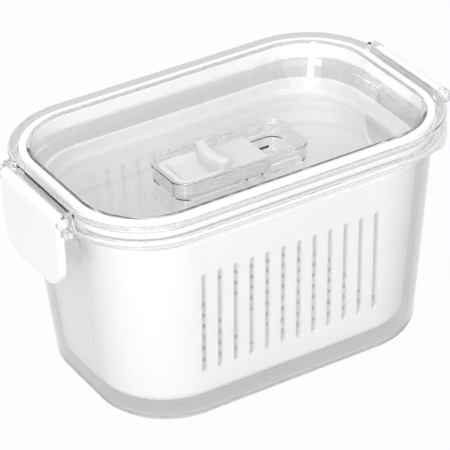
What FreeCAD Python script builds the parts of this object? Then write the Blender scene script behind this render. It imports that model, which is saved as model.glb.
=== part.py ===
import FreeCAD, Part
import math
import os

os.makedirs("parts", exist_ok=True)

# Lid outline and the heights that everything hangs on (mm)
lidLength = 184.0
lidWidth = 119.0
lidRadius = 39.0
overallHeight = 107.5
lidThickness = 2.0
skirtHeight = 8.2
skirtWall = 1.8
rimWidth = 9.0
topRound = 1.6
rimRound = 0.8

# Clearances between pieces that move or lift off
moveGap = 0.3
sideGap = 0.35
stubGap = 0.05

# Sunk panel of the lid
recessDepth = 22.0
recessRadius = 30.0
recessInsetX = 7.6
recessInsetY = 5.7
recessWall = 1.6
panelThickness = 2.0
panelRound = 3.0

# Clear container: the base is smaller than the mouth by these drafts
wallInset = 5.75
baseDraftX = 7.6
baseDraftY = 3.1
wallRadius = 33.6
baseRadius = 35.5
baseRound = 5.4
shoulderDrop = 3.7
shoulderHeight = 2.6
wall = 2.0
floorThickness = 2.6
footRingWidth = 9.0
footRingHeight = 0.7
mouthInset = 4.1
upstandWall = 1.4
upstandHeight = 3.6
flangeHeight = 2.7
flangeRound = 0.7

# Gasket in the lid's channel, between the sunk panel and the mouth
gasketGap = 0.3
gasketLip = 0.7
gasketRound = 0.7

# Drain basket: its room to the container's wall, at the bottom and at the top
basketLift = 5.0
basketDrop = 2.8
basketWall = 1.6
basketFloor = 1.8
basketRoomFootX = 2.2
basketRoomFootY = 4.0
basketRoomTopX = 3.05
basketRoomTopY = 1.65
basketFootRadius = 32.2
basketTopRadius = 32.8
basketRound = 4.0
beadWidth = 0.7
beadHeight = 2.2
slotCount = 12
slotWidth = 2.6
slotSpanShare = 0.5386
slotLowShare = 0.157
slotHighShare = 0.787
floorRows = 9
floorSpanShare = 0.68
floorSlotStart = 6.0
floorSlotShare = 0.8
holeHalfWidth = 12.6
holeHeight = 14.8
holeDrop = 8.4
holeTopRadius = 4.6
holeLowRadius = 9.2
footRadius = 4.2
footShareX = 0.72
footShareY = 0.535

# Vent island in the middle of the panel
islandLength = 66.6
islandWidth = 29.3
islandRadius = 7.0
islandWall = 1.5
islandHeight = 8.0
lipWidth = 0.6
lipHeight = 1.4
ribDepth = 1.2
ribHeight = 1.4
ventLength = 6.4
ventWidth = 1.7
ventPitch = 6.0
ventToEnd = 6.9
windowLength = 2.2
windowHeight = 1.6
windowPlaces = (-1.0, 6.9)

# Vent slider and its seal
sliderEndGap = 0.5
sliderLength = 45.3
sliderBodyLength = 25.8
bodySideGap = 1.65
sliderFlange = 1.6
bodyHeight = 6.1
pocketDepth = 2.4
tongueHeight = 4.6
ridgeHeight = 10.6
ridgeWidth = 5.2
ridgeBow = 2.6
ridgeRound = 1.5
sealToTip = 1.6
sealLength = 11.8
sealSideGap = 3.75
sealThickness = 0.9

# Latches: they stand off the lid's end and hang down from their hinges
latchWidth = 50.4
latchStandOff = 6.4
latchPlate = 2.0
latchDrop = 34.1
latchCorner = 13.0
barrelRadius = 2.7
hingeDrop = 4.4
hookCatch = 1.4
hookThickness = 2.6
hookWebDrop = 6.0
latchEdge = 1.6
latchEdgeDepth = 1.4
latchRound = 0.8
stubRadius = 1.4
earThickness = 2.4
earRadius = 3.1
earDrop = 4.3

halfX = lidLength / 2.0
halfY = lidWidth / 2.0
panelTop = overallHeight - recessDepth
lidUnderside = overallHeight - lidThickness
skirtBottom = overallHeight - skirtHeight
flangeTop = skirtBottom - moveGap
flangeBottom = flangeTop - flangeHeight
collarHeight = flangeTop + upstandHeight
wallTopHeight = flangeBottom - shoulderDrop
basketBottom = floorThickness + basketLift
basketRim = wallTopHeight - basketDrop
basketHeight = basketRim - basketBottom
latchOuter = halfX + latchStandOff
hingeX = latchOuter - barrelRadius
hingeHeight = overallHeight - hingeDrop
latchBottom = hingeHeight - latchDrop
hookReach = halfX - hookCatch
hookTop = flangeBottom - moveGap
sliderFloor = panelTop + moveGap + sealThickness
sliderLeft = -islandLength / 2.0 + islandWall + sliderEndGap
sliderRight = sliderLeft + sliderLength
bodyHalfY = islandWidth / 2.0 - islandWall - bodySideGap


def vec(x, y, z):
    return FreeCAD.Vector(x, y, z)


def outline(hx, hy, r, z):
    """Closed rounded rectangle, centred on the Z axis."""
    edges = []
    corners = [(hx - r, -hy + r, -90), (hx - r, hy - r, 0), (-hx + r, hy - r, 90), (-hx + r, -hy + r, 180)]
    for cx, cy, start in corners:
        pts = []
        for turn in (0, 45, 90):
            a = math.radians(start + turn)
            pts.append(vec(cx + r * math.cos(a), cy + r * math.sin(a), z))
        if edges:
            edges.append(Part.LineSegment(last, pts[0]).toShape())
        else:
            first = pts[0]
        edges.append(Part.Arc(pts[0], pts[1], pts[2]).toShape())
        last = pts[2]
    edges.append(Part.LineSegment(last, first).toShape())
    return Part.Wire(edges)


def grown(section, amount):
    hx, hy, r, z = section
    return (hx + amount, hy + amount, r + amount, z)


def at(section, z):
    return (section[0], section[1], section[2], z)


def between(low, high, z):
    t = (z - low[3]) / (high[3] - low[3])
    return tuple(a + (b - a) * t for a, b in zip(low[:3], high[:3])) + (z,)


def loft(sections):
    return Part.makeLoft([outline(*s) for s in sections], True, True)


def slab(section, z0, z1):
    face = Part.Face(outline(section[0], section[1], section[2], z0))
    return face.extrude(vec(0, 0, z1 - z0))


def edgesAt(shape, z):
    found = []
    for e in shape.Edges:
        if all(abs(v.Z - z) < 1e-4 for v in e.Vertexes):
            found.append(e)
    return found


def box(x0, x1, y0, y1, z0, z1):
    return Part.makeBox(x1 - x0, y1 - y0, z1 - z0, vec(x0, y0, z0))


def prismY(points, y0, y1):
    """Polygon in the XZ plane, drawn out along Y."""
    pts = [vec(x, y0, z) for x, z in points]
    face = Part.Face(Part.makePolygon(pts + [pts[0]]))
    return face.extrude(vec(0, y1 - y0, 0))


def rodY(x, z, radius, y0, y1):
    return Part.makeCylinder(radius, y1 - y0, vec(x, y0, z), vec(0, 1, 0))


def sideAt(section, y):
    """X of a rounded rectangle's end at the distance y from its middle."""
    hx, hy, r, z = section
    over = max(0.0, abs(y) - (hy - r))
    return hx - r + math.sqrt(max(0.0, r * r - over * over))


lidOutline = (halfX, halfY, lidRadius, overallHeight)
recessTop = (halfX - rimWidth, halfY - rimWidth, recessRadius, overallHeight)
recessFoot = (recessTop[0] - recessInsetX, recessTop[1] - recessInsetY, recessRadius - 1.0, panelTop)
skirtInner = grown(lidOutline, -skirtWall)
upstandOuter = grown(lidOutline, -mouthInset)
upstandInner = grown(upstandOuter, -upstandWall)
wallTop = (halfX - wallInset, halfY - wallInset, wallRadius, wallTopHeight)
wallFoot = (wallTop[0] - baseDraftX, wallTop[1] - baseDraftY, baseRadius, 0.0)
roomFoot = grown(between(wallFoot, wallTop, basketBottom), -wall)
roomTop = grown(between(wallFoot, wallTop, basketRim), -wall)
basketFoot = (roomFoot[0] - basketRoomFootX, roomFoot[1] - basketRoomFootY, basketFootRadius, basketBottom)
basketTop = (roomTop[0] - basketRoomTopX, roomTop[1] - basketRoomTopY, basketTopRadius, basketRim)


def container():
    shoulderTop = wallTopHeight + shoulderHeight
    outer = loft([wallFoot, wallTop, at(upstandOuter, shoulderTop), at(upstandOuter, collarHeight)])
    outer = outer.makeFillet(baseRound, edgesAt(outer, 0.0))
    low = grown(between(wallFoot, wallTop, floorThickness), -wall)
    turn = wallTopHeight + 0.7 * wall
    inner = loft([
        low,
        at(grown(wallTop, -wall), turn),
        at(upstandInner, turn + shoulderHeight),
        at(upstandInner, collarHeight),
    ])
    inner = inner.makeFillet(baseRound - wall, edgesAt(inner, floorThickness))
    flange = slab(lidOutline, flangeBottom, flangeTop)
    flange = flange.makeFillet(flangeRound, edgesAt(flange, flangeTop) + edgesAt(flange, flangeBottom))
    body = outer.fuse(flange).cut(inner)
    ring = grown(wallFoot, -baseRound - footRingWidth)
    body = body.cut(slab(ring, 0.0, footRingHeight))
    return body.removeSplitter()


def wallSlots():
    """Round-ended slots through both long walls."""
    cuts = []
    r = slotWidth / 2.0
    low = basketBottom + slotLowShare * basketHeight
    high = basketBottom + slotHighShare * basketHeight
    pitch = slotSpanShare * 2.0 * basketTop[0] / (slotCount - 1)
    for i in range(slotCount):
        x = (i - (slotCount - 1) / 2.0) * pitch
        cuts.append(box(x - r, x + r, -halfY, halfY, low + r, high - r))
        cuts.append(rodY(x, low + r, r, -halfY, halfY))
        cuts.append(rodY(x, high - r, r, -halfY, halfY))
    return cuts


def floorSlots():
    cuts = []
    r = slotWidth / 2.0
    h = basketFloor * 3.0
    z0 = basketBottom - basketFloor
    pitch = floorSpanShare * 2.0 * basketFoot[1] / (floorRows - 1)
    far = floorSlotShare * basketFoot[0]
    for i in range(floorRows):
        y = (i - (floorRows - 1) / 2.0) * pitch
        for side in (-1, 1):
            x0 = min(side * floorSlotStart, side * far) + r
            x1 = max(side * floorSlotStart, side * far) - r
            cuts.append(box(x0, x1, y - r, y + r, z0, z0 + h))
            cuts.append(Part.makeCylinder(r, h, vec(x0, y, z0)))
            cuts.append(Part.makeCylinder(r, h, vec(x1, y, z0)))
    return cuts


def fingerHole():
    """Prism along X through both end walls: nearly flat top, well rounded bottom."""
    w = holeHalfWidth
    holeHigh = basketRim - holeDrop
    holeLow = holeHigh - holeHeight
    pts = []
    for cy, cz, r, start in [
        (w - holeTopRadius, holeHigh - holeTopRadius, holeTopRadius, 0),
        (-w + holeTopRadius, holeHigh - holeTopRadius, holeTopRadius, 90),
        (-w + holeLowRadius, holeLow + holeLowRadius, holeLowRadius, 180),
        (w - holeLowRadius, holeLow + holeLowRadius, holeLowRadius, 270),
    ]:
        arc = []
        for turn in (0, 45, 90):
            a = math.radians(start + turn)
            arc.append(vec(-halfX, cy + r * math.cos(a), cz + r * math.sin(a)))
        pts.append(arc)
    edges = []
    for i, arc in enumerate(pts):
        edges.append(Part.Arc(arc[0], arc[1], arc[2]).toShape())
        following = pts[(i + 1) % 4][0]
        if arc[2].distanceToPoint(following) > 1e-6:
            edges.append(Part.LineSegment(arc[2], following).toShape())
    return Part.Face(Part.Wire(edges)).extrude(vec(lidLength, 0, 0))


def drainBasket():
    outer = loft([basketFoot, basketTop])
    outer = outer.makeFillet(basketRound, edgesAt(outer, basketBottom))
    bead = slab(grown(basketTop, beadWidth), basketRim - beadHeight, basketRim)
    bead = bead.makeFillet(0.7 * beadWidth, edgesAt(bead, basketRim - beadHeight) + edgesAt(bead, basketRim))
    low = grown(between(basketFoot, basketTop, basketBottom + basketFloor), -basketWall)
    inner = loft([low, grown(basketTop, -basketWall)])
    inner = inner.makeFillet(basketRound - basketWall, edgesAt(inner, low[3]))
    body = outer.fuse(bead).cut(inner)
    body = body.cut(wallSlots() + floorSlots() + [fingerHole()])
    feet = []
    for sx in (-1, 1):
        for sy in (-1, 1):
            h = basketLift + 0.2 * basketFloor
            place = vec(sx * footShareX * basketFoot[0], sy * footShareY * basketFoot[1], floorThickness)
            feet.append(Part.makeCone(0.8 * footRadius, footRadius, h, place))
    return body.fuse(feet).removeSplitter()


def ears():
    """Two lugs at each end of the lid that carry the latch, with a bore in each."""
    lugs = []
    bores = []
    near = latchWidth / 2.0 + moveGap
    far = near + earThickness
    root = min(sideAt(lidOutline, near), sideAt(lidOutline, far)) - 0.7 * skirtWall
    clear = halfX + moveGap
    top = overallHeight - 0.3
    nose = hingeX - 0.6
    for side in (-1, 1):
        pts = [
            (side * root, top),
            (side * nose, top),
            (side * nose, hingeHeight),
            (side * (clear + 1.2), skirtBottom - earDrop),
            (side * clear, skirtBottom - earDrop),
            (side * clear, skirtBottom),
            (side * root, skirtBottom),
        ]
        for sy in (-1, 1):
            y0 = min(sy * near, sy * far)
            y1 = max(sy * near, sy * far)
            lugs.append(prismY(pts, y0, y1).fuse(rodY(side * hingeX, hingeHeight, earRadius, y0, y1)))
            bores.append(rodY(side * hingeX, hingeHeight, stubRadius + stubGap, y0 - 1, y1 + 1))
    return lugs, bores


def ventIsland():
    half = (islandLength / 2.0, islandWidth / 2.0, islandRadius, panelTop)
    top = panelTop + islandHeight
    ring = slab(half, panelTop - 0.5, top)
    lip = slab(grown(half, lipWidth), top - lipHeight, top)
    lip = lip.makeFillet(0.4, edgesAt(lip, top) + edgesAt(lip, top - lipHeight))
    ring = ring.fuse(lip)
    ring = ring.cut(slab(grown(half, -islandWall), panelTop, top + 1))
    inside = half[1] - islandWall
    z0 = sliderFloor + sliderFlange + moveGap
    ribs = []
    run = half[0] - islandRadius - 0.5
    for sy in (-1, 1):
        y0 = min(sy * (inside - ribDepth), sy * (inside + 0.4))
        y1 = max(sy * (inside - ribDepth), sy * (inside + 0.4))
        ribs.append(box(-run, run, y0, y1, z0, z0 + ribHeight))
    windows = []
    for x in windowPlaces:
        windows.append(box(x - windowLength / 2, x + windowLength / 2, -half[1] - 1, -inside + 0.1,
                           panelTop, panelTop + windowHeight))
    return ring.fuse(ribs).cut(windows)


def ventSlots():
    cuts = []
    r = ventWidth / 2.0
    z0 = panelTop - panelThickness - 1.0
    h = panelThickness + 1.5
    x1 = islandLength / 2.0 - islandWall - ventToEnd - r
    x0 = x1 - ventLength + ventWidth
    for i in (-1, 0, 1):
        y = i * ventPitch
        cuts.append(box(x0, x1, y - r, y + r, z0, z0 + h))
        cuts.append(Part.makeCylinder(r, h, vec(x0, y, z0)))
        cuts.append(Part.makeCylinder(r, h, vec(x1, y, z0)))
    return cuts


def lid():
    block = slab(lidOutline, skirtBottom, overallHeight)
    block = block.makeFillet(topRound, edgesAt(block, overallHeight))
    channel = slab(skirtInner, skirtBottom - 1.0, lidUnderside)
    outerTop = grown(between(recessFoot, recessTop, lidUnderside + 0.5), recessWall)
    foot = grown(at(between(recessFoot, recessTop, panelTop), panelTop), recessWall)
    foot = at(foot, panelTop - panelThickness)
    tub = loft([foot, outerTop])
    tub = tub.makeFillet(panelRound + recessWall - 0.2, edgesAt(tub, foot[3]))
    hollow = loft([recessFoot, recessTop])
    hollow = hollow.makeFillet(panelRound, edgesAt(hollow, panelTop))
    body = block.cut(channel).fuse(tub).cut(hollow)
    rimEdges = []
    for e in edgesAt(body, overallHeight):
        if e.BoundBox.XMax <= recessTop[0] + 0.01 and e.BoundBox.XMin >= -recessTop[0] - 0.01:
            if e.BoundBox.YMax <= recessTop[1] + 0.01 and e.BoundBox.YMin >= -recessTop[1] - 0.01:
                rimEdges.append(e)
    body = body.makeFillet(rimRound, rimEdges)
    body = body.fuse(ventIsland()).cut(ventSlots())
    lugs, bores = ears()
    return body.fuse(lugs).cut(bores).removeSplitter()


def gasket():
    """Silicone ring inside the mouth, with a lip over the mouth's edge."""
    inner = grown(between(recessFoot, recessTop, lidUnderside), recessWall + gasketGap)
    legOuter = grown(upstandInner, -sideGap)
    lipOuter = grown(upstandInner, gasketLip)
    legBottom = skirtBottom - moveGap
    lipBottom = collarHeight + moveGap
    leg = slab(legOuter, legBottom, lidUnderside)
    leg = leg.makeFillet(gasketRound, edgesAt(leg, legBottom))
    lip = slab(lipOuter, lipBottom, lidUnderside)
    lip = lip.makeFillet(gasketRound, edgesAt(lip, lipBottom))
    return leg.fuse(lip).cut(slab(inner, legBottom - 1, lidUnderside + 1)).removeSplitter()


def lowCorners(shape, z):
    """The edges along X at the height z, which are a latch's bottom corners."""
    found = []
    for e in shape.Edges:
        along = abs(e.Vertexes[0].X - e.Vertexes[-1].X)
        if along > 0.5 and abs(e.CenterOfMass.z - z) < 0.01:
            found.append(e)
    return found


def latch(side):
    """Latch modelled at the +X end, with its own stub pins; mirrored for the other end."""
    half = latchWidth / 2.0
    inner = latchOuter - latchPlate
    low = latchBottom + latchEdge
    plate = box(inner, latchOuter, -half, half, latchBottom, hingeHeight)
    plate = plate.makeFillet(latchCorner, lowCorners(plate, latchBottom))
    outerEdges = []
    for e in plate.Edges:
        if all(abs(v.X - latchOuter) < 1e-4 for v in e.Vertexes) and e.CenterOfMass.z < hingeHeight - 1:
            outerEdges.append(e)
    plate = plate.makeFillet(latchRound, outerEdges)
    core = box(inner - 5, inner + 5, -half + latchEdge, half - latchEdge, low, hookTop)
    core = core.makeFillet(latchCorner - latchEdge, lowCorners(core, low))
    border = box(inner - latchEdgeDepth, inner + 0.5, -half, half, latchBottom, hookTop)
    border = border.makeFillet(latchCorner, lowCorners(border, latchBottom)).cut(core)
    hook = prismY([
        (inner + 0.5, hookTop),
        (hookReach, hookTop),
        (hookReach, hookTop - 0.45 * hookThickness),
        (hookReach + 0.45 * hookThickness, hookTop - hookThickness),
        (inner + 0.5, hookTop - hookThickness),
    ], -half + latchEdge, half - latchEdge)
    under = hookTop - hookThickness + 0.5
    webs = []
    for share in (-0.9, -0.33, 0.33, 0.9):
        y = share * half - latchEdge / 2.0
        webs.append(prismY([
            (inner + 0.5, under),
            (hookReach + 0.7 * hookThickness, under),
            (inner + 0.5, under - hookWebDrop),
        ], y, y + latchEdge))
    barrel = rodY(hingeX, hingeHeight, barrelRadius, -half, half)
    stub = half + moveGap + earThickness - 0.2
    pins = rodY(hingeX, hingeHeight, stubRadius, -stub, stub)
    body = plate.fuse([border, hook, barrel, pins] + webs).removeSplitter()
    if side < 0:
        body = body.mirror(vec(0, 0, 0), vec(1, 0, 0))
    return body


def ventSlider():
    z0 = sliderFloor
    bodyEnd = sliderLeft + sliderBodyLength
    flangeHalfY = islandWidth / 2.0 - islandWall - moveGap
    flangeStart = sliderLeft + moveGap
    flangeCorner = islandRadius - islandWall - moveGap
    flange = slab(((sliderRight - flangeStart) / 2.0, flangeHalfY, flangeCorner, z0), z0, z0 + sliderFlange)
    flange.translate(vec((sliderRight + flangeStart) / 2.0, 0, 0))
    bodyLong = sliderBodyLength / 2.0
    centre = sliderLeft + bodyLong
    top = z0 + bodyHeight
    block = slab((bodyLong, bodyHalfY, 5.0, z0), z0, top)
    block = block.makeFillet(1.2, edgesAt(block, top))
    block.translate(vec(centre, 0, 0))
    pocket = loft([
        (bodyLong - 5.0, bodyHalfY - 4.4, 3.0, top - pocketDepth),
        (bodyLong - 2.4, bodyHalfY - 1.8, 4.2, top + 0.01),
    ])
    pocket = pocket.makeFillet(1.6, edgesAt(pocket, top - pocketDepth))
    pocket.translate(vec(centre + 0.2, 0, 0))
    tongue = box(bodyEnd - 2.0, sliderRight, -bodyHalfY, bodyHalfY, z0, z0 + tongueHeight)
    tip = []
    for e in tongue.Edges:
        if abs(e.Vertexes[0].Z - e.Vertexes[1].Z) > 1.0 and e.CenterOfMass.x > bodyEnd:
            tip.append(e)
    tongue = tongue.makeFillet(1.5, tip)
    hollow = box(bodyEnd + 0.5, sliderRight + 1, -bodyHalfY + 1.6, bodyHalfY - 1.6,
                 z0 + sliderFlange, z0 + tongueHeight - 1.8)
    tongue = tongue.cut(hollow)
    x0 = bodyEnd - ridgeWidth + 0.5
    x1 = bodyEnd + 0.5
    crescent = [
        Part.Arc(vec(x0, -bodyHalfY, z0), vec(x0 - ridgeBow, 0, z0), vec(x0, bodyHalfY, z0)).toShape(),
        Part.LineSegment(vec(x0, bodyHalfY, z0), vec(x1, bodyHalfY, z0)).toShape(),
        Part.Arc(vec(x1, bodyHalfY, z0), vec(x1 - ridgeBow, 0, z0), vec(x1, -bodyHalfY, z0)).toShape(),
        Part.LineSegment(vec(x1, -bodyHalfY, z0), vec(x0, -bodyHalfY, z0)).toShape(),
    ]
    ridge = Part.Face(Part.Wire(crescent)).extrude(vec(0, 0, ridgeHeight))
    upright = []
    for e in ridge.Edges:
        if abs(e.Vertexes[0].Z - e.Vertexes[-1].Z) > 1.0:
            upright.append(e)
    ridge = ridge.makeFillet(ridgeRound, upright)
    ridge = ridge.makeFillet(ridgeRound, edgesAt(ridge, z0 + ridgeHeight))
    return flange.fuse([block, tongue]).cut(pocket).fuse(ridge).removeSplitter()


def ventSeal():
    z0 = panelTop + moveGap
    x1 = sliderRight - sealToTip
    side = islandWidth / 2.0 - islandWall - sealSideGap
    pad = box(x1 - sealLength, x1, -side, side, z0, z0 + sealThickness)
    upright = [e for e in pad.Edges if abs(e.Vertexes[0].Z - e.Vertexes[1].Z) > 0.1]
    return pad.makeFillet(2.0, upright)


pieces = {
    "container": container(),
    "drain_basket": drainBasket(),
    "lid": lid(),
    "lid_gasket": gasket(),
    "latch_left": latch(-1),
    "latch_right": latch(1),
    "vent_slider": ventSlider(),
    "vent_seal": ventSeal(),
}

for name, shape in pieces.items():
    print(name, shape.ShapeType, len(shape.Solids), shape.isValid(), round(shape.Volume))
    shape.exportStep("parts/" + name + ".step")
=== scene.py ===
import math

import bpy
from mathutils import Matrix, Vector

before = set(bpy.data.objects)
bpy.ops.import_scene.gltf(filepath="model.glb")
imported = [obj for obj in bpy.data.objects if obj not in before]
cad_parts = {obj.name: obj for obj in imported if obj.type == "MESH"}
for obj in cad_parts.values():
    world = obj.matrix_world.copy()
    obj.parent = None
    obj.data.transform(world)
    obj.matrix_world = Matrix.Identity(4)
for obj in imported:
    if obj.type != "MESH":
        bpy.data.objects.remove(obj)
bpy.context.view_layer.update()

print("frame loaded")

mm = 0.001


# Camera: found by fitting the outlines of the lid, flange, base and slots
camera = {
    "azimuth": -30.14,      # degrees, 0 looks along +Y
    "elevation": 31.76,
    "roll": -2.39,
    "distance": 1.1948,     # m
    "aim": (0.0, 0.0, 0.0511),
    "sensor": 36.0,         # mm
    "lens": 215.5,          # mm
    "shift": (-0.0170, 0.0206),
    "clip": (0.05, 20.0),   # m
}


def makeCamera():
    a = math.radians(camera["azimuth"])
    e = math.radians(camera["elevation"])
    roll = math.radians(camera["roll"])
    back = Vector((math.sin(a) * math.cos(e), -math.cos(a) * math.cos(e), math.sin(e)))
    right = Vector((math.cos(a), math.sin(a), 0.0))
    up = back.cross(right)
    tiltedRight = right * math.cos(roll) + up * math.sin(roll)
    tiltedUp = up * math.cos(roll) - right * math.sin(roll)
    data = bpy.data.cameras.new("camera")
    data.sensor_width = camera["sensor"]
    data.lens = camera["lens"]
    data.shift_x, data.shift_y = camera["shift"]
    data.clip_start, data.clip_end = camera["clip"]
    obj = bpy.data.objects.new("camera", data)
    bpy.context.scene.collection.objects.link(obj)
    turn = Matrix((tiltedRight, tiltedUp, back)).transposed().to_4x4()
    place = Vector(camera["aim"]) + back * camera["distance"]
    obj.matrix_world = Matrix.Translation(place) @ turn
    bpy.context.scene.camera = obj


makeCamera()
print("camera placed")


# Colours are written as sRGB hex and turned to linear here
def linear(code):
    parts = [int(code[i:i + 2], 16) / 255.0 for i in (1, 3, 5)]
    curve = [c / 12.92 if c <= 0.04045 else ((c + 0.055) / 1.055) ** 2.4 for c in parts]
    return (*curve, 1.0)


def addNode(tree, kind, settings=None, links=None):
    node = tree.nodes.new(kind)
    for key, value in (settings or {}).items():
        if isinstance(key, int) or key in node.inputs:
            node.inputs[key].default_value = value
        else:
            setattr(node, key, value)
    for key, source in (links or {}).items():
        tree.links.new(source, node.inputs[key])
    return node


def newMaterial(name):
    mat = bpy.data.materials.new(name)
    mat.use_nodes = True
    mat.node_tree.nodes.clear()
    return mat, mat.node_tree


# Moulded SAN: glass-clear and stiff, a trace of grey where walls stack, painted shade on walls seen
# at a slant, with a glossy tool finish
clearSan = {
    "colour": "#FDFDFD",
    "slantShadeColour": "#C4C9C7",    # painted shade: walls seen at a slant are drawn greyer
    "slantPower": 2.0,          # higher keeps the painted shade nearer to the outline
    "lampTint": "#FEFEFE",
    "depthColour": "#C6CBCA",
    "depthDensity": 9.0,        # per metre: walls seen edge-on turn grey, square-on they stay clear
    "straightAfter": 4.5,       # bounces after which light trapped in a wall goes straight on
    "roughness": 0.02,
    "ior": 1.57,
    "rippleSize": 22.0,         # mm between the slow swells that mould flow leaves
    "rippleDepth": 0.02,        # mm
    "rippleStrength": 0.6,
    "rippleDetail": 1.0,
}

# The lid's SAN: its painted slant shade a step lighter, with crisper outlines
lidSan = dict(clearSan, slantShadeColour="#DFE2E1", straightAfter=5.5)


def clearMaterial(name, spec):
    mat, tree = newMaterial(name)
    place = addNode(tree, "ShaderNodeTexCoord")
    swell = addNode(tree, "ShaderNodeTexNoise",
                    {"Scale": 1000.0 / spec["rippleSize"], "Detail": spec["rippleDetail"]},
                    {"Vector": place.outputs["Object"]})
    bump = addNode(tree, "ShaderNodeBump",
                   {"Strength": spec["rippleStrength"], "Distance": spec["rippleDepth"] * mm},
                   {"Height": swell.outputs["Fac"]})
    # Painted shade: walls seen at a slant are mixed towards a grey, standing in for the shade and
    # dark surroundings they would show
    facing = addNode(tree, "ShaderNodeLayerWeight")
    slant = addNode(tree, "ShaderNodeMath", {"operation": "POWER", 1: spec["slantPower"]},
                    {0: facing.outputs["Facing"]})
    paintedSlantShade = addNode(tree, "ShaderNodeMixRGB",
                   {1: linear(spec["colour"]), 2: linear(spec["slantShadeColour"])},
                   {0: slant.outputs["Value"]})
    plastic = addNode(tree, "ShaderNodeBsdfPrincipled", {
        "Roughness": spec["roughness"],
        "IOR": spec["ior"],
        "Transmission Weight": 1.0,
    }, {"Base Color": paintedSlantShade.outputs["Color"], "Normal": bump.outputs["Normal"]})
    lampWay = addNode(tree, "ShaderNodeBsdfTransparent", {"Color": linear(spec["lampTint"])})
    path = addNode(tree, "ShaderNodeLightPath")
    soft = addNode(tree, "ShaderNodeMath", {"operation": "MAXIMUM"},
                   {0: path.outputs["Is Shadow Ray"], 1: path.outputs["Is Diffuse Ray"]})
    late = addNode(tree, "ShaderNodeMath", {"operation": "GREATER_THAN", 1: spec["straightAfter"]},
                   {0: path.outputs["Ray Depth"]})
    straight = addNode(tree, "ShaderNodeMath", {"operation": "MAXIMUM"},
                       {0: soft.outputs["Value"], 1: late.outputs["Value"]})
    mix = addNode(tree, "ShaderNodeMixShader", None, {
        0: straight.outputs["Value"],
        1: plastic.outputs["BSDF"],
        2: lampWay.outputs["BSDF"],
    })
    depth = addNode(tree, "ShaderNodeVolumeAbsorption",
                    {"Color": linear(spec["depthColour"]), "Density": spec["depthDensity"]})
    addNode(tree, "ShaderNodeOutputMaterial", None,
            {"Surface": mix.outputs["Shader"], "Volume": depth.outputs["Volume"]})
    return mat


# Moulded polypropylene: white, a little milky, satin from a fine spark-eroded tool
whitePp = {
    "colour": "#FAFAFA",
    "roughness": 0.38,
    "ior": 1.49,
    "grain": 0.9,           # mm: the real grain is near 0.1 mm, drawn coarse enough to show
    "grainDepth": 0.006,    # mm
    "scatter": 0.15,        # share of light that goes in and spreads
    "through": 0.35,        # share of light that a 1.6 mm wall lets through
    "edgeRound": 0.3,       # mm
}

# Moulded ABS: brighter and glossier than the basket
whiteAbs = {
    "colour": "#F6F6F6",
    "roughness": 0.22,
    "ior": 1.53,
    "grain": 2.2,           # mm
    "grainDepth": 0.004,
    "scatter": 0.05,
    "through": 0.25,
    "edgeRound": 0.6,       # mm
}

# The slider's ABS: painted a little greyer than the latches, as painted shade on its up-facing
# faces, which take less light
sliderAbsPaintedShade = dict(whiteAbs, colour="#E4E4E4")

# Silicone rubber: white, soft, with a dull skin
whiteSilicone = {
    "colour": "#FBFBFB",
    "roughness": 0.55,
    "ior": 1.42,
    "grain": 0.7,           # mm
    "grainDepth": 0.008,
    "scatter": 0.25,
    "through": 0.05,
    "edgeRound": 0.3,       # mm
}

# What the white parts share
whiteFinish = {
    "grainStrength": 0.5,
    "grainDetail": 3.0,
    "grainRoughness": 0.6,
    "cloudScale": 45.0,             # per metre: the gloss changes slowly, over about 22 mm
    "cloudRange": (0.3, 0.7),
    "glossSpread": (-0.04, 0.05),   # added to the roughness
    "scatterRadius": (1.0, 1.0, 1.0),
    "scatterDepth": 1.5,            # mm
    "edgeSamples": 4,
}


def solidMaterial(name, spec):
    mat, tree = newMaterial(name)
    place = addNode(tree, "ShaderNodeTexCoord")
    grain = addNode(tree, "ShaderNodeTexNoise", {
        "Scale": 1000.0 / spec["grain"],
        "Detail": whiteFinish["grainDetail"],
        "Roughness": whiteFinish["grainRoughness"],
    }, {"Vector": place.outputs["Object"]})
    cloud = addNode(tree, "ShaderNodeTexNoise", {"Scale": whiteFinish["cloudScale"]},
                    {"Vector": place.outputs["Object"]})
    edge = addNode(tree, "ShaderNodeBevel",
                   {"samples": whiteFinish["edgeSamples"], "Radius": spec["edgeRound"] * mm})
    bump = addNode(tree, "ShaderNodeBump",
                   {"Strength": whiteFinish["grainStrength"], "Distance": spec["grainDepth"] * mm},
                   {"Height": grain.outputs["Fac"], "Normal": edge.outputs["Normal"]})
    cloudLow, cloudHigh = whiteFinish["cloudRange"]
    glossier, duller = whiteFinish["glossSpread"]
    shine = addNode(tree, "ShaderNodeMapRange", {
        "From Min": cloudLow,
        "From Max": cloudHigh,
        "To Min": spec["roughness"] + glossier,
        "To Max": spec["roughness"] + duller,
    }, {"Value": cloud.outputs["Fac"]})
    plastic = addNode(tree, "ShaderNodeBsdfPrincipled", {
        "Base Color": linear(spec["colour"]),
        "IOR": spec["ior"],
        "Subsurface Weight": spec["scatter"],
        "Subsurface Radius": whiteFinish["scatterRadius"],
        "Subsurface Scale": whiteFinish["scatterDepth"] * mm,
    }, {"Roughness": shine.outputs["Result"], "Normal": bump.outputs["Normal"]})
    milky = addNode(tree, "ShaderNodeBsdfTranslucent", {"Color": linear(spec["colour"])},
                    {"Normal": bump.outputs["Normal"]})
    mix = addNode(tree, "ShaderNodeMixShader", {0: spec["through"]},
                  {1: plastic.outputs["BSDF"], 2: milky.outputs["BSDF"]})
    addNode(tree, "ShaderNodeOutputMaterial", None, {"Surface": mix.outputs["Shader"]})
    return mat


sanMaterial = clearMaterial("mouldedSan", clearSan)
lidMaterial = clearMaterial("mouldedLidSan", lidSan)
ppMaterial = solidMaterial("mouldedPolypropylene", whitePp)
absMaterial = solidMaterial("mouldedAbs", whiteAbs)
sliderMaterial = solidMaterial("mouldedSliderAbsPaintedShade", sliderAbsPaintedShade)
siliconeMaterial = solidMaterial("siliconeRubber", whiteSilicone)


def dress(obj, mat):
    obj.data.materials.clear()
    obj.data.materials.append(mat)


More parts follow.
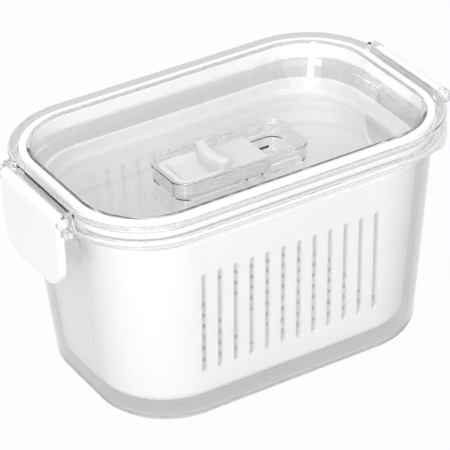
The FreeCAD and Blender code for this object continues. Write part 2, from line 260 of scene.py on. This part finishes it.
for nodeName, mat in {
    "container": sanMaterial,
    "lid": lidMaterial,
    "drain_basket": ppMaterial,
    "lid_gasket": siliconeMaterial,
    "vent_seal": siliconeMaterial,
    "latch_left": absMaterial,
    "latch_right": absMaterial,
    "vent_slider": sliderMaterial,
}.items():
    dress(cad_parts[nodeName], mat)
print("materials made")


# Studio: a table and a backdrop that stay white to the eye, and three soft lamps
studio = {
    "tableSize": 6.0,               # m
    "tableDrop": 0.0002,            # m, keeps the table just clear of the foot ring
    "tableColour": "#D2D4D3",
    "white": "#FFFFFF",
    "whiteShare": 0.94,             # the rest is paint, which keeps the shadow
    "throughClear": "#D0D2D1",      # clear walls show a pale grey table
    "throughShare": 0.8,
    "worldColour": "#FFFFFF",
    "worldStrength": 0.84,          # what lights the object; the eye meets plain white
    "lampAim": (0.0, 0.0, 0.05),
    "lamps": [
        # name, place, size in m, power in W
        ("front", (-0.5, -0.95, 0.8), (2.0, 1.2), 7.3),
        ("window", (-0.89, -0.86, 0.45), (0.22, 1.0), 6.0),
        ("overhead", (-0.1, 0.1, 1.3), (1.2, 0.9), 3.5),
    ],
}


# Painted board: matt and pale, white where the eye or a mirror image meets it
def tableMaterial():
    mat, tree = newMaterial("paintedTable")
    paint = addNode(tree, "ShaderNodeBsdfDiffuse", {"Color": linear(studio["tableColour"])})
    glow = addNode(tree, "ShaderNodeEmission", {"Color": linear(studio["white"]), "Strength": 1.0})
    path = addNode(tree, "ShaderNodeLightPath")
    mirror = addNode(tree, "ShaderNodeMath", {"operation": "SUBTRACT", "use_clamp": True},
                     {0: path.outputs["Is Glossy Ray"], 1: path.outputs["Is Transmission Ray"]})
    eye = addNode(tree, "ShaderNodeMath", {"operation": "MAXIMUM"},
                  {0: path.outputs["Is Camera Ray"], 1: mirror.outputs["Value"]})
    eyeShare = addNode(tree, "ShaderNodeMath", {"operation": "MULTIPLY", 1: studio["whiteShare"]},
                       {0: eye.outputs["Value"]})
    seen = addNode(tree, "ShaderNodeMixShader", None, {
        0: eyeShare.outputs["Value"],
        1: paint.outputs["BSDF"],
        2: glow.outputs["Emission"],
    })
    paleGlow = addNode(tree, "ShaderNodeEmission",
                       {"Color": linear(studio["throughClear"]), "Strength": 1.0})
    clearShare = addNode(tree, "ShaderNodeMath",
                         {"operation": "MULTIPLY", 1: studio["throughShare"]},
                         {0: path.outputs["Is Transmission Ray"]})
    mix = addNode(tree, "ShaderNodeMixShader", None, {
        0: clearShare.outputs["Value"],
        1: seen.outputs["Shader"],
        2: paleGlow.outputs["Emission"],
    })
    addNode(tree, "ShaderNodeOutputMaterial", None, {"Surface": mix.outputs["Shader"]})
    return mat


def makeTable():
    half = studio["tableSize"] / 2
    corners = [(-half, -half, 0), (half, -half, 0), (half, half, 0), (-half, half, 0)]
    mesh = bpy.data.meshes.new("table")
    mesh.from_pydata(corners, [], [(0, 1, 2, 3)])
    mesh.materials.append(tableMaterial())
    table = bpy.data.objects.new("table", mesh)
    bpy.context.scene.collection.objects.link(table)
    table.location.z = -studio["tableDrop"]


def makeWorld():
    world = bpy.data.worlds.new("studioWorld")
    bpy.context.scene.world = world
    world.use_nodes = True
    tree = world.node_tree
    tree.nodes.clear()
    path = addNode(tree, "ShaderNodeLightPath")
    eye = addNode(tree, "ShaderNodeMath", {"operation": "MAXIMUM"},
                  {0: path.outputs["Is Camera Ray"], 1: path.outputs["Is Transmission Ray"]})
    eyeOrGloss = addNode(tree, "ShaderNodeMath", {"operation": "MAXIMUM"},
                         {0: eye.outputs["Value"], 1: path.outputs["Is Glossy Ray"]})
    dim = addNode(tree, "ShaderNodeBackground",
                  {"Color": linear(studio["worldColour"]), "Strength": studio["worldStrength"]})
    white = addNode(tree, "ShaderNodeBackground",
                    {"Color": linear(studio["white"]), "Strength": 1.0})
    mix = addNode(tree, "ShaderNodeMixShader", None, {
        0: eyeOrGloss.outputs["Value"],
        1: dim.outputs["Background"],
        2: white.outputs["Background"],
    })
    addNode(tree, "ShaderNodeOutputWorld", None, {"Surface": mix.outputs["Shader"]})


def hangLamps():
    for name, place, size, power in studio["lamps"]:
        lamp = bpy.data.lights.new(name, "AREA")
        lamp.shape = "RECTANGLE"
        lamp.size, lamp.size_y = size
        lamp.energy = power
        obj = bpy.data.objects.new(name, lamp)
        bpy.context.scene.collection.objects.link(obj)
        obj.location = place
        toward = Vector(studio["lampAim"]) - Vector(place)
        obj.rotation_mode = "QUATERNION"
        obj.rotation_quaternion = toward.to_track_quat("-Z", "Y")


makeTable()
makeWorld()
hangLamps()
bpy.context.scene.view_settings.view_transform = "Standard"
print("studio made")
